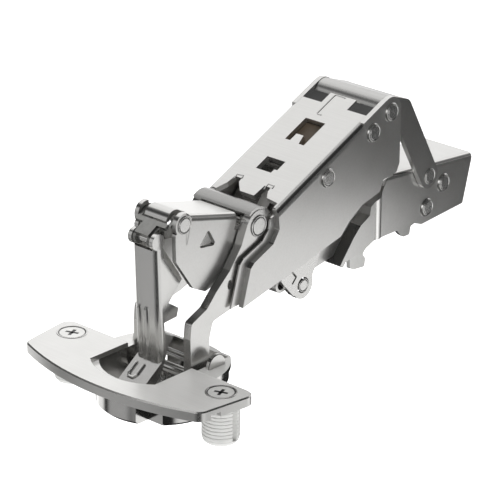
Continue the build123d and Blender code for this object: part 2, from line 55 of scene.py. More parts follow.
Point = tuple[float, float, float]
Spot = tuple[float, float]
Colour = tuple[float, float, float]
Profile = tuple[Spot, ...]

# Where a tone starts and ends to change a finish from its dark to its light colour
TONE_LOW = 0.3
TONE_HIGH = 0.7

# Section of a pressed ridge, as shares of its width and its height
RIDGE_SECTION: Profile = (
    (-0.5, -0.1), (-0.42, 0.35), (-0.2, 0.88), (0.0, 1.0), (0.2, 0.88), (0.42, 0.35), (0.5, -0.1),
)
RIDGE_END_STEPS = (0.02, 0.08, 0.2, 0.5, 1.0)
RIDGE_LEAST_SWELL = 0.05

# Riveted pin ends, as shares of the face's radius and heights in millimetres
RIVET_FACE: Profile = (
    (1.0, -0.05), (0.98, 0.08), (0.94, 0.16), (0.86, 0.16), (0.83, 0.05),
    (0.78, 0.05), (0.76, 0.14), (0.74, 0.18), (0.7, 0.18), (0.3, 0.18),
)
# the dark ring laid in the face's groove is painted shade
RIVET_SHADE_RING: Profile = ((0.85, 0.0), (0.845, 0.08), (0.77, 0.08), (0.765, 0.0))

# Angles in degrees: facets under the first are one flat face, edges over the second are broken
FLAT_ANGLE = 0.6
EDGE_ANGLE = 32
EDGE_SEGMENTS = 2

HINGE_MIDDLE: Point = (5.0, 45.0, 25.0)


class Grain(Enum):
    """Direction in which the rolled grain of a sheet runs, as scales along X, Y and Z."""

    ACROSS = (60.0, 1900.0, 1900.0)
    ALONG = (900.0, 40.0, 700.0)
    UPRIGHT = (900.0, 700.0, 30.0)
    EVEN = (500.0, 500.0, 500.0)


class Rim(Enum):
    """How much the edge of a piece is broken, in millimetres."""

    FINE = 0.08
    SHEET = 0.18
    PRESSED = 0.3
    MOULDED = 0.35


# Shader groups that several finishes share


def new_group(name: str, inputs: dict[str, float], outputs: list[str]) -> bpy.types.NodeTree:
    """Make an empty shader group with named number sockets.

    Args:
        name: the group's name.
        inputs: the number inputs and their values.
        outputs: the number outputs.

    Returns:
        The group, with its input and output nodes in place.
    """
    group = bpy.data.node_groups.new(name, "ShaderNodeTree")
    for label, value in inputs.items():
        socket = group.interface.new_socket(label, in_out="INPUT", socket_type="NodeSocketFloat")
        socket.default_value = value
    for label in outputs:
        group.interface.new_socket(label, in_out="OUTPUT", socket_type="NodeSocketFloat")
    group.nodes.new("NodeGroupInput").name = "in"
    group.nodes.new("NodeGroupOutput").name = "out"
    return group


def math_node(tree: bpy.types.NodeTree, kind: str, first: object, second: object) -> object:
    """Add one arithmetic node.

    Args:
        tree: the node tree.
        kind: the operation.
        first: a socket or a number.
        second: a socket or a number.

    Returns:
        The node's output socket.
    """
    node = tree.nodes.new("ShaderNodeMath")
    node.operation = kind
    for place, value in enumerate((first, second)):
        if isinstance(value, (int, float)):
            node.inputs[place].default_value = value
        else:
            tree.links.new(value, node.inputs[place])
    return node.outputs[0]


def grain_group() -> bpy.types.NodeTree:
    """Build the rolled grain of sheet metal: fine streaks as a height and as a tone.

    Returns:
        The shader group.
    """
    sizes = {"Scale X": 500.0, "Scale Y": 500.0, "Scale Z": 500.0}
    group = new_group("rolled_grain", sizes, ["Height", "Tone"])
    nodes, links = group.nodes, group.links
    place = nodes.new("ShaderNodeTexCoord")
    size = nodes.new("ShaderNodeCombineXYZ")
    for index, label in enumerate(sizes):
        links.new(nodes["in"].outputs[label], size.inputs[index])
    stretch = nodes.new("ShaderNodeVectorMath")
    stretch.operation = "MULTIPLY"
    links.new(place.outputs["Object"], stretch.inputs[0])
    links.new(size.outputs[0], stretch.inputs[1])
    streaks = nodes.new("ShaderNodeTexNoise")
    streaks.inputs["Scale"].default_value = 1.0
    streaks.inputs["Detail"].default_value = 3.0
    links.new(stretch.outputs[0], streaks.inputs["Vector"])
    fine = nodes.new("ShaderNodeTexNoise")
    fine.inputs["Scale"].default_value = 3.7
    fine.inputs["Detail"].default_value = 2.0
    links.new(stretch.outputs[0], fine.inputs["Vector"])
    both = math_node(group, "ADD", streaks.outputs[0], fine.outputs[0])
    links.new(math_node(group, "MULTIPLY", both, 0.5), nodes["out"].inputs["Height"])
    links.new(streaks.outputs[0], nodes["out"].inputs["Tone"])
    return group


def cloud_group() -> bpy.types.NodeTree:
    """Build the faint clouds that plating shows over a few millimetres.

    Returns:
        The shader group.
    """
    group = new_group("plating_clouds", {"Scale": 90.0}, ["Tone"])
    nodes, links = group.nodes, group.links
    place = nodes.new("ShaderNodeTexCoord")
    cloud = nodes.new("ShaderNodeTexNoise")
    cloud.inputs["Detail"].default_value = 4.0
    cloud.inputs["Roughness"].default_value = 0.55
    links.new(place.outputs["Object"], cloud.inputs["Vector"])
    links.new(nodes["in"].outputs["Scale"], cloud.inputs["Scale"])
    links.new(cloud.outputs[0], nodes["out"].inputs["Tone"])
    return group


def upward_group() -> bpy.types.NodeTree:
    """Build a mask of the faces that look up, away from the cup, where a finish paints shade or lowers its
    metallic.

    Returns:
        The shader group.
    """
    group = new_group("upward_faces", {"Low": 0.55, "High": 0.8}, ["Mask"])
    nodes, links = group.nodes, group.links
    place = nodes.new("ShaderNodeTexCoord")
    split = nodes.new("ShaderNodeSeparateXYZ")
    links.new(place.outputs["Normal"], split.inputs[0])
    spread = nodes.new("ShaderNodeMapRange")
    spread.interpolation_type = "SMOOTHSTEP"
    links.new(split.outputs["Z"], spread.inputs["Value"])
    links.new(nodes["in"].outputs["Low"], spread.inputs["From Min"])
    links.new(nodes["in"].outputs["High"], spread.inputs["From Max"])
    links.new(spread.outputs["Result"], nodes["out"].inputs["Mask"])
    return group


def bend_group() -> bpy.types.NodeTree:
    """Build a mask of the bends and broken edges, whose faces look between the main directions; it polishes
    them and, where a finish asks, paints shade on them.

    Returns:
        The shader group.
    """
    group = new_group("polished_and_shaded_bends", {"Low": 0.13, "High": 0.22}, ["Mask"])
    nodes, links = group.nodes, group.links
    place = nodes.new("ShaderNodeTexCoord")
    size = nodes.new("ShaderNodeVectorMath")
    size.operation = "ABSOLUTE"
    links.new(place.outputs["Normal"], size.inputs[0])
    split = nodes.new("ShaderNodeSeparateXYZ")
    links.new(size.outputs[0], split.inputs[0])
    level = math_node(group, "MAXIMUM", split.outputs["X"], split.outputs["Y"])
    main = math_node(group, "MAXIMUM", level, split.outputs["Z"])
    spread = nodes.new("ShaderNodeMapRange")
    spread.interpolation_type = "SMOOTHSTEP"
    links.new(math_node(group, "SUBTRACT", 1.0, main), spread.inputs["Value"])
    links.new(nodes["in"].outputs["Low"], spread.inputs["From Min"])
    links.new(nodes["in"].outputs["High"], spread.inputs["From Max"])
    links.new(spread.outputs["Result"], nodes["out"].inputs["Mask"])
    return group


@dataclass
class Effects:
    """The shader groups, built once and placed in every finish."""

    grain: bpy.types.NodeTree = field(default_factory=grain_group)
    clouds: bpy.types.NodeTree = field(default_factory=cloud_group)
    upward: bpy.types.NodeTree = field(default_factory=upward_group)
    bends: bpy.types.NodeTree = field(default_factory=bend_group)


class Sheet:
    """A material under construction: its tree, its shader and short ways to add nodes."""

    def __init__(self, name: str, effects: Effects) -> None:
        """Start a material with a Principled shader.

        Args:
            name: the material's name.
            effects: the shared shader groups.
        """
        self.material = bpy.data.materials.new(name)
        self.material.use_nodes = True
        self.tree = self.material.node_tree
        self.shader = self.tree.nodes["Principled BSDF"]
        self.effects = effects

    def group(self, tree: bpy.types.NodeTree, **values: float) -> bpy.types.Node:
        """Place one shared group.

        Args:
            tree: the shader group.
            values: numbers for its inputs, with underscores for spaces.

        Returns:
            The group node.
        """
        node = self.tree.nodes.new("ShaderNodeGroup")
        node.node_tree = tree
        for label, value in values.items():
            node.inputs[label.replace("_", " ")].default_value = value
        return node

    def grain(self, kind: Grain) -> bpy.types.Node:
        """Place the rolled grain in one direction."""
        x, y, z = kind.value
        return self.group(self.effects.grain, Scale_X=x, Scale_Y=y, Scale_Z=z)

    def mix_colour(self, mask: object, first: Colour, second: Colour) -> bpy.types.NodeSocket:
        """Mix two colours by a mask into Base Color.

        Args:
            mask: the socket that chooses between them.
            first: the colour where the mask is 0.
            second: the colour where the mask is 1.

        Returns:
            The mixed colour's socket.
        """
        ramp = self.tree.nodes.new("ShaderNodeValToRGB")
        ramp.color_ramp.elements[0].position = TONE_LOW
        ramp.color_ramp.elements[1].position = TONE_HIGH
        ramp.color_ramp.elements[0].color = (*first, 1.0)
        ramp.color_ramp.elements[1].color = (*second, 1.0)
        self.tree.links.new(mask, ramp.inputs[0])
        self.tree.links.new(ramp.outputs[0], self.shader.inputs["Base Color"])
        return ramp.outputs[0]

    def shade(self, colour: bpy.types.NodeSocket, mask: object, tone: float) -> None:
        """Paint shade into Base Color where a mask is set.

        Args:
            colour: the colour's socket.
            mask: the socket that says where.
            tone: the share of the colour that is left there.
        """
        node = self.tree.nodes.new("ShaderNodeMix")
        node.data_type = "RGBA"
        node.blend_type = "MULTIPLY"
        colour_inputs = [socket for socket in node.inputs if socket.type == "RGBA"]
        colour_inputs[1].default_value = (tone, tone, tone, 1.0)
        result = [socket for socket in node.outputs if socket.type == "RGBA"][0]
        self.tree.links.new(mask, node.inputs["Factor"])
        self.tree.links.new(colour, colour_inputs[0])
        self.tree.links.new(result, self.shader.inputs["Base Color"])

    def spread(self, label: str, mask: object, low: float, high: float) -> None:
        """Spread one of the shader's numbers between two values by a mask.

        Args:
            label: the shader's input.
            mask: the socket that chooses between them.
            low: the number where the mask is 0.
            high: the number where the mask is 1.
        """
        node = self.tree.nodes.new("ShaderNodeMapRange")
        node.inputs["To Min"].default_value = low
        node.inputs["To Max"].default_value = high
        self.tree.links.new(mask, node.inputs["Value"])
        self.tree.links.new(node.outputs["Result"], self.shader.inputs[label])

    def bump(self, height: object, strength: float, depth: float) -> None:
        """Raise the surface by a height.

        Args:
            height: the socket with the height.
            strength: how strongly it shows.
            depth: its depth in millimetres.
        """
        node = self.tree.nodes.new("ShaderNodeBump")
        node.inputs["Strength"].default_value = strength
        node.inputs["Distance"].default_value = depth * MM
        self.tree.links.new(height, node.inputs["Height"])
        self.tree.links.new(node.outputs[0], self.shader.inputs["Normal"])


@dataclass(frozen=True)
class PlatedSteel:
    """Nickel or zinc plating over pressed steel."""

    name: str
    dark: Colour = (0.615, 0.61, 0.595)
    light: Colour = (0.69, 0.685, 0.67)
    smooth: float = 0.24
    dull: float = 0.36
    grain: Grain = Grain.ACROSS
    depth: float = 0.012
    metal: float = 0.93
    top_metal: float = 0.93
    painted_top_shade: float = 1.0
    painted_bend_shade: float = 1.0
    polish: float = 1.2
    cloud_scale: float = 85.0
    grain_share: float = 0.45
    cloud_share: float = 0.55
    upward_faces: Spot = (0.55, 0.85)
    bent_faces: Spot = (0.13, 0.22)
    relief: float = 0.25

    def make(self, effects: Effects) -> bpy.types.Material:
        """Build the plated material.

        Args:
            effects: the shared shader groups.

        Returns:
            The material.
        """
        sheet = Sheet(self.name, effects)
        grain = sheet.grain(self.grain)
        clouds = sheet.group(effects.clouds, Scale=self.cloud_scale)
        upward = sheet.group(effects.upward, Low=self.upward_faces[0], High=self.upward_faces[1])
        tone = math_node(sheet.tree, "MULTIPLY", grain.outputs["Tone"], self.grain_share)
        cloud = math_node(sheet.tree, "MULTIPLY", clouds.outputs["Tone"], self.cloud_share)
        blend = math_node(sheet.tree, "ADD", tone, cloud)
        colour = sheet.mix_colour(blend, self.dark, self.light)
        bends = sheet.group(effects.bends, Low=self.bent_faces[0], High=self.bent_faces[1])
        # painted shade: Base Color is darkened on faces that look up
        if self.painted_top_shade < 1.0:
            sheet.shade(colour, upward.outputs["Mask"], self.painted_top_shade)
        # painted shade: Base Color is darkened on bends and broken edges
        if self.painted_bend_shade < 1.0:
            sheet.shade(colour, bends.outputs["Mask"], self.painted_bend_shade)
        sheet.shader.inputs["Metallic"].default_value = self.metal
        if self.top_metal < self.metal:
            matt = math_node(sheet.tree, "SUBTRACT", upward.outputs["Mask"], bends.outputs["Mask"])
            sheet.spread("Metallic", matt, self.metal, self.top_metal)
        polish = math_node(sheet.tree, "MULTIPLY", bends.outputs["Mask"], self.polish)
        worn = math_node(sheet.tree, "SUBTRACT", blend, polish)
        sheet.spread("Roughness", worn, self.smooth, self.dull)
        sheet.bump(grain.outputs["Height"], self.relief, self.depth)
        return sheet.material


@dataclass(frozen=True)
class MouldedPlastic:
    """Plain moulded plastic with a fine spark texture."""

    name: str
    dark: Colour
    light: Colour
    dull: float = 0.5
    depth: float = 0.03
    gloss: float = 0.45
    cloud_scale: float = 120.0
    dull_spread: float = 0.08
    relief: float = 0.3

    def make(self, effects: Effects) -> bpy.types.Material:
        """Build the plastic material.

        Args:
            effects: the shared shader groups.

        Returns:
            The material.
        """
        sheet = Sheet(self.name, effects)
        sheet.shader.inputs["Specular IOR Level"].default_value = self.gloss
        clouds = sheet.group(effects.clouds, Scale=self.cloud_scale)
        fine = sheet.grain(Grain.EVEN)
        sheet.mix_colour(clouds.outputs["Tone"], self.dark, self.light)
        low, high = self.dull - self.dull_spread, self.dull + self.dull_spread
        sheet.spread("Roughness", fine.outputs["Tone"], low, high)
        sheet.bump(fine.outputs["Height"], self.relief, self.depth)
        return sheet.material


@dataclass
class Finishes:
    """Every finish of the hinge."""

    effects: Effects
    satin: bpy.types.Material = field(init=False)
    link: bpy.types.Material = field(init=False)
    lever: bpy.types.Material = field(init=False)
    upright: bpy.types.Material = field(init=False)
    bright: bpy.types.Material = field(init=False)
    zinc: bpy.types.Material = field(init=False)
    pin: bpy.types.Material = field(init=False)
    flange: bpy.types.Material = field(init=False)
    dull: bpy.types.Material = field(init=False)
    painted_shade: bpy.types.Material = field(init=False)
    nylon: bpy.types.Material = field(init=False)
    glide: bpy.types.Material = field(init=False)
    damper: bpy.types.Material = field(init=False)

    def __post_init__(self) -> None:
        """Build the materials."""
        use = self.effects
        # satin plating with painted shade darkening its bends
        self.satin = PlatedSteel("satin_nickel", painted_bend_shade=0.32).make(use)
        # a darker copy of the satin plating: painted shade on the rear link
        self.link = PlatedSteel(
            "shaded_link_nickel", dark=(0.47, 0.466, 0.455), light=(0.55, 0.546, 0.535)
        ).make(use)
        # lever plating with painted shade darkening its upward faces
        self.lever = PlatedSteel(
            "lever_nickel", smooth=0.2, dull=0.3, grain=Grain.ALONG, painted_top_shade=0.5
        ).make(use)
        self.upright = PlatedSteel(
            "drawn_nickel", smooth=0.16, dull=0.3, grain=Grain.UPRIGHT, depth=0.006
        ).make(use)
        self.bright = PlatedSteel(
            "bright_nickel", smooth=0.1, dull=0.2, grain=Grain.EVEN, depth=0.004, metal=1.0, top_metal=0.4
        ).make(use)
        self.zinc = PlatedSteel(
            "satin_zinc", light=(0.74, 0.74, 0.72), grain=Grain.EVEN, top_metal=0.5
        ).make(use)
        self.pin = PlatedSteel(
            "turned_steel", smooth=0.14, dull=0.24, grain=Grain.EVEN, depth=0.006
        ).make(use)
        self.flange = PlatedSteel(
            "flange_nickel", smooth=0.26, dull=0.4, metal=0.95, top_metal=0.45
        ).make(use)
        # a dark copy of the plating: painted shade on the bridge link
        self.dull = PlatedSteel(
            "shaded_bridge_steel", dark=(0.2, 0.2, 0.19), light=(0.32, 0.32, 0.31), grain=Grain.UPRIGHT
        ).make(use)
        # near-black steel for painted shade in rivet and screw recesses
        self.painted_shade = PlatedSteel(
            "painted_shade_steel", dark=(0.05, 0.05, 0.05), light=(0.09, 0.09, 0.09), grain=Grain.EVEN
        ).make(use)
        self.nylon = MouldedPlastic(
            "dowel_nylon", dark=(0.60, 0.60, 0.585), light=(0.68, 0.68, 0.665), dull=0.42
        ).make(use)
        self.glide = MouldedPlastic(
            "glide_plastic", dark=(0.02, 0.02, 0.02), light=(0.035, 0.035, 0.035), gloss=0.25
        ).make(use)
        self.damper = MouldedPlastic(
            "damper_plastic", dark=(0.032, 0.025, 0.018), light=(0.06, 0.046, 0.033), gloss=0.3
        ).make(use)


# Making meshes


def mesh_piece(name: str, mesh: bmesh.types.BMesh, finish: bpy.types.Material) -> bpy.types.Object:
    """Turn a bmesh into a finished object.

    Args:
        name: the piece's name.
        mesh: the bmesh, in metres, which is freed.
        finish: its material.

    Returns:
        The new object.
    """
    data = bpy.data.meshes.new(name)
    bmesh.ops.recalc_face_normals(mesh, faces=mesh.faces)
    mesh.to_mesh(data)
    mesh.free()
    data.materials.append(finish)
    piece = bpy.data.objects.new(name, data)
    bpy.context.scene.collection.objects.link(piece)
    return piece


def join_rings(mesh: bmesh.types.BMesh, rings: list[list[bmesh.types.BMVert]], closed: bool = False) -> None:
    """Join rings of points into a skin.

    Args:
        mesh: the bmesh to add to.
        rings: the rings, each with as many points.
        closed: whether the last ring meets the first; if not, both ends get a face.
    """
    following = rings[1:] + rings[:1] if closed else rings[1:]
    for first, second in zip(rings, following):
        for step in range(len(first)):
            after = (step + 1) % len(first)
            mesh.faces.new((first[step], first[after], second[after], second[step]))
    if not closed:
        mesh.faces.new(rings[0])
        mesh.faces.new(rings[-1][::-1])


def raised_path(mesh: bmesh.types.BMesh, path: list[Point], width: float, height: float, up: Point) -> None:
    """Add a low rounded ridge along a path on a flat face.

    Args:
        mesh: the bmesh to add to.
        path: points on the face, in millimetres.
        width: the ridge's width.
        height: how far it stands up.
        up: the face's normal.
    """
    normal = Vector(up).normalized()
    places = [Vector(point) for point in path]
    run = places[0].lerp(places[1], 0.5)
    tail = places[-1].lerp(places[-2], 0.5)
    first, last = places[0], places[-1]
    start = [first + (run - first).normalized() * width * share for share in RIDGE_END_STEPS]
    end = [last + (tail - last).normalized() * width * share for share in RIDGE_END_STEPS]
    places = [first, *start, *places[1:-1], *end[::-1], last]
    rings = []
    for index, place in enumerate(places):
        before = places[max(index - 1, 0)]
        after = places[min(index + 1, len(places) - 1)]
        across = (after - before).normalized().cross(normal).normalized()
        reach = min((place - first).length, (place - last).length) / (width * 0.5)
        swell = max(math.sqrt(max(1.0 - (1.0 - min(reach, 1.0)) ** 2, 0.0)), RIDGE_LEAST_SWELL)
        wide, tall = width * swell, height * swell
        points = [(place + across * wide * s + normal * tall * h) * MM for s, h in RIDGE_SECTION]
        rings.append([mesh.verts.new(point) for point in points])
    for low, high in zip(rings, rings[1:]):
        for step in range(len(RIDGE_SECTION) - 1):
            mesh.faces.new((low[step], low[step + 1], high[step + 1], high[step]))
    mesh.faces.new(rings[0])
    mesh.faces.new(rings[-1][::-1])


def turned(mesh: bmesh.types.BMesh, centre: Point, side: int, profile: Profile, steps: int = 40) -> None:
    """Add a turned form about an axis parallel to X.

    Args:
        mesh: the bmesh to add to.
        centre: the middle of its base, in millimetres.
        side: 1 to face +X, -1 to face -X.
        profile: radius and height pairs from the rim inwards.
        steps: facets round the axis.
    """
    base = Vector(centre)
    rings = []
    for radius, height in profile:
        ring = []
        for step in range(steps):
            turn = 2 * math.pi * step / steps
            offset = Vector((side * height, radius * math.cos(turn), radius * math.sin(turn)))
            ring.append(mesh.verts.new((base + offset) * MM))
        rings.append(ring)
    join_rings(mesh, rings)


def lathe(mesh: bmesh.types.BMesh, centre: Point, profile: Profile, steps: int = 48) -> None:
    """Add a closed ring turned about an upright axis.

    Args:
        mesh: the bmesh to add to.
        centre: the middle, in millimetres.
        profile: radius and height pairs all round the section.
        steps: facets round the axis.
    """
    base = Vector(centre)
    rings = []
    for radius, height in profile:
        ring = []
        for step in range(steps):
            turn = 2 * math.pi * step / steps
            offset = Vector((radius * math.cos(turn), radius * math.sin(turn), height))
            ring.append(mesh.verts.new((base + offset) * MM))
        rings.append(ring)
    join_rings(mesh, rings, closed=True)


def side_fill(mesh: bmesh.types.BMesh, outline: Profile, inner: float, outer: float) -> None:
    """Add a flat plate on each side of the middle plane.

    Args:
        mesh: the bmesh to add to.
        outline: its corners, as Y and Z.
        inner: where the plates start, from the middle.
        outer: where they end.
    """
    for side in (-1, 1):
        near = [mesh.verts.new((side * inner * MM, y * MM, z * MM)) for y, z in outline]
        far = [mesh.verts.new((side * outer * MM, y * MM, z * MM)) for y, z in outline]
        mesh.faces.new(near)
        mesh.faces.new(far[::-1])
        for index in range(len(outline)):
            after = (index + 1) % len(outline)
            mesh.faces.new((near[index], far[index], far[after], near[after]))


@dataclass(frozen=True)
class Rivets:
    """Pins of one body whose ends are riveted over, with their ends and places in millimetres."""

    name: str
    body: str
    half: float
    radius: float
    places: tuple[Spot, ...]

    def make(self, finish: Finishes) -> None:
        """Put the formed face with its ring, and a ring of painted shade in its groove, on both ends of each
        pin.

        Args:
            finish: the hinge's finishes.
        """
        # the second form is a near-black ring of painted shade
        forms = (("face", finish.lever, RIVET_FACE), ("painted_shade", finish.painted_shade, RIVET_SHADE_RING))
        for label, material, shares in forms:
            profile = tuple((self.radius * share, height) for share, height in shares)
            mesh = bmesh.new()
            for y, z in self.places:
                for side in (-1, 1):
                    turned(mesh, (side * self.half, y, z), side, profile)
            piece = mesh_piece(f"{self.name}_{label}", mesh, material)
            for polygon in piece.data.polygons:
                polygon.use_smooth = len(polygon.vertices) == 4
            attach(piece, self.body)
            LOG.info("made %s", piece.name)


def dress(nodes: dict[str, bpy.types.Object], name: str, finish: bpy.types.Material, rim: Rim) -> None:
    """Finish a CAD node: its material, its broken edges and its shading.

    Args:
        nodes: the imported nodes.
        name: the node's name.
        finish: its material.
        rim: how much its edges are broken.
    """
    node = nodes[name]
    node.data.materials.clear()
    node.data.materials.append(finish)
    flat = node.modifiers.new("flat_faces", "DECIMATE")
    flat.decimate_type = "DISSOLVE"
    flat.angle_limit = math.radians(FLAT_ANGLE)
    edge = node.modifiers.new("broken_edges", "BEVEL")
    edge.width = rim.value * MM
    edge.segments = EDGE_SEGMENTS
    edge.limit_method = "ANGLE"
    edge.angle_limit = math.radians(EDGE_ANGLE)
    edge.use_clamp_overlap = True
    edge.harden_normals = False
    normals = node.modifiers.new("even_shading", "WEIGHTED_NORMAL")
    normals.keep_sharp = True
    LOG.info("dressed %s", name)


@dataclass
class CupAndFlange:
    """The cup, its flange, screws, dowels, pins and springs, which stay on the door.

    Sizes and places are in millimetres, and cross_turn is in degrees. A section is radius and height
    pairs, and slot_cosine says how far round a dowel its slot reaches.
    """

    body: str = "cup"
    wire: float = 0.9
    coil: float = 1.35
    turns: int = 6
    turn_steps: int = 20
    spring_x: float = 4.6
    spring_z: float = -6.9
    spring_start: float = 4.9
    spring_end: float = 12.6
    screw_x: float = 26.0
    screw_y: float = -5.5
    screw_top: float = 2.6
    rim_section: Profile = ((3.3, -0.3), (3.35, 0.03), (3.6, 0.03), (3.65, -0.3))
    bead_section: Profile = (
        (3.55, -0.2), (3.6, 0.08), (3.72, 0.16), (3.88, 0.16), (4.05, 0.06), (4.1, -0.2),
    )
    cross_size: Point = (3.4, 0.75, 0.5)
    cross_drop: float = 0.3
    cross_turn: float = 20.0
    ear_inner: float = 12.4
    ear_radius: float = 3.1
    ear_wall: float = 0.8
    ear_depth: float = 1.0
    ear_edge: float = 0.15
    ear_place: Spot = (6.7, 1.5)
    dowel_radius: float = 4.8
    dowel_inset: float = 0.1
    dowel_steps: int = 72
    dowel_tip: Profile = ((4.7, -9.2), (4.5, -9.75), (4.1, -10.2), (3.4, -10.5), (2.4, -10.6))
    rib_count: int = 9
    rib_top: float = -0.5
    rib_pitch: float = 0.95
    rib_land: float = 0.6
    rib_foot: float = 0.78
    rib_depth: float = 0.16
    slot_cosine: float = 0.994
    slot_end: float = -8.9
    slot_depth: float = 1.2

    def springs(self, finish: Finishes) -> None:
        """Wind the two closing springs on the floor of the cup.

        Args:
            finish: the hinge's finishes.
        """
        for side, word in ((-1, "left"), (1, "right")):
            curve = bpy.data.curves.new(f"{word}_closing_spring", "CURVE")
            curve.dimensions = "3D"
            curve.bevel_depth = self.wire / 2 * MM
            curve.bevel_resolution = 3
            line = curve.splines.new("POLY")
            count = self.turns * self.turn_steps
            line.points.add(count)
            for index, point in enumerate(line.points):
                along = index / count
                turn = 2 * math.pi * self.turns * along
                x = side * self.spring_x + self.coil * math.cos(turn)
                y = self.spring_start + (self.spring_end - self.spring_start) * along
                z = self.spring_z + self.coil * math.sin(turn)
                point.co = (x * MM, y * MM, z * MM, 1.0)
            curve.materials.append(finish.pin)
            spring = bpy.data.objects.new(curve.name, curve)
            bpy.context.scene.collection.objects.link(spring)
            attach(spring, self.body)
            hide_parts(f"{word}_cup_spring")
            LOG.info("made %s", curve.name)

    def painted_screw_shade(self, finish: Finishes) -> None:
        """Lay a ring of painted shade round each screw head and a cross of painted shade in its recess.

        Args:
            finish: the hinge's finishes.
        """
        mesh = bmesh.new()
        box = Matrix.Diagonal((*(size * MM for size in self.cross_size), 1.0))
        for side in (-1, 1):
            lathe(mesh, (side * self.screw_x, self.screw_y, self.screw_top), self.rim_section)
            middle = Vector((side * self.screw_x, self.screw_y, self.screw_top - self.cross_drop))
            place = Matrix.Translation(middle * MM)
            for turn in (self.cross_turn, self.cross_turn + 90):
                turned_box = place @ Matrix.Rotation(math.radians(turn), 4, "Z") @ box
                bmesh.ops.create_cube(mesh, size=1.0, matrix=turned_box)
        # the rings and crosses are painted shade
        rims = mesh_piece("painted_screw_shade", mesh, finish.painted_shade)
        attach(rims, self.body)
        LOG.info("made painted_screw_shade")

    def screw_beads(self, finish: Finishes) -> None:
        """Lay the raised bead round each ring of painted shade.

        Args:
            finish: the hinge's finishes.
        """
        mesh = bmesh.new()
        for side in (-1, 1):
            lathe(mesh, (side * self.screw_x, self.screw_y, self.screw_top), self.bead_section)
        beads = mesh_piece("screw_beads", mesh, finish.pin)
        for polygon in beads.data.polygons:
            polygon.use_smooth = True
        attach(beads, self.body)
        LOG.info("made screw_beads")

    def ears(self, finish: Finishes) -> None:
        """Add the rounded ears at the rear corners of the cup.

        Args:
            finish: the hinge's finishes.
        """
        profile = (
            (self.ear_radius, 0.0),
            (self.ear_radius, self.ear_wall),
            (self.ear_radius - self.ear_edge, self.ear_depth),
        )
        mesh = bmesh.new()
        for side in (-1, 1):
            turned(mesh, (side * self.ear_inner, *self.ear_place), side, profile)
        ears = mesh_piece("cup_ears", mesh, finish.satin)
        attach(ears, self.body)
        LOG.info("made cup_ears")

    def dowels(self, finish: Finishes) -> None:
        """Turn the two ribbed nylon dowels, each with a slot on its outer side.

        Args:
            finish: the hinge's finishes.
        """
        profile = [(self.dowel_radius - self.dowel_inset, 0.0)]
        for rib in range(self.rib_count):
            top = self.rib_top - rib * self.rib_pitch
            profile += [
                (self.dowel_radius, top),
                (self.dowel_radius, top - self.rib_land),
                (self.dowel_radius - self.rib_depth, top - self.rib_foot),
            ]
        profile += self.dowel_tip
        for side, word in ((-1, "left"), (1, "right")):
            mesh = bmesh.new()
            rings = []
            for radius, z in profile:
                ring = []
                for step in range(self.dowel_steps):
                    turn = 2 * math.pi * step / self.dowel_steps
                    slot = math.cos(turn) > self.slot_cosine and z > self.slot_end
                    reach = radius - self.slot_depth if slot else radius
                    x = side * (self.screw_x + reach * math.cos(turn))
                    y = self.screw_y + reach * math.sin(turn)
                    ring.append(mesh.verts.new(Vector((x, y, z)) * MM))
                rings.append(ring)
            join_rings(mesh, rings)
            dowel = mesh_piece(f"{word}_ribbed_dowel", mesh, finish.nylon)
            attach(dowel, self.body)
            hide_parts(f"{word}_dowel")
            LOG.info("made %s", dowel.name)

    def build(self, nodes: dict[str, bpy.types.Object], finish: Finishes) -> None:
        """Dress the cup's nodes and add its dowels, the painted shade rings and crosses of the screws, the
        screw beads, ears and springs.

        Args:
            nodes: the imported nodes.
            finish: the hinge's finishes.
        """
        dress(nodes, "flange_plate", finish.flange, Rim.SHEET)
        dress(nodes, "cup_shell", finish.bright, Rim.SHEET)
        dress(nodes, "cup_front_pin", finish.pin, Rim.FINE)
        dress(nodes, "cup_rear_pin", finish.pin, Rim.FINE)
        for word in ("left", "right"):
            dress(nodes, f"{word}_screw", finish.zinc, Rim.FINE)
        self.dowels(finish)
        self.painted_screw_shade(finish)
        self.screw_beads(finish)
        self.ears(finish)
        self.springs(finish)


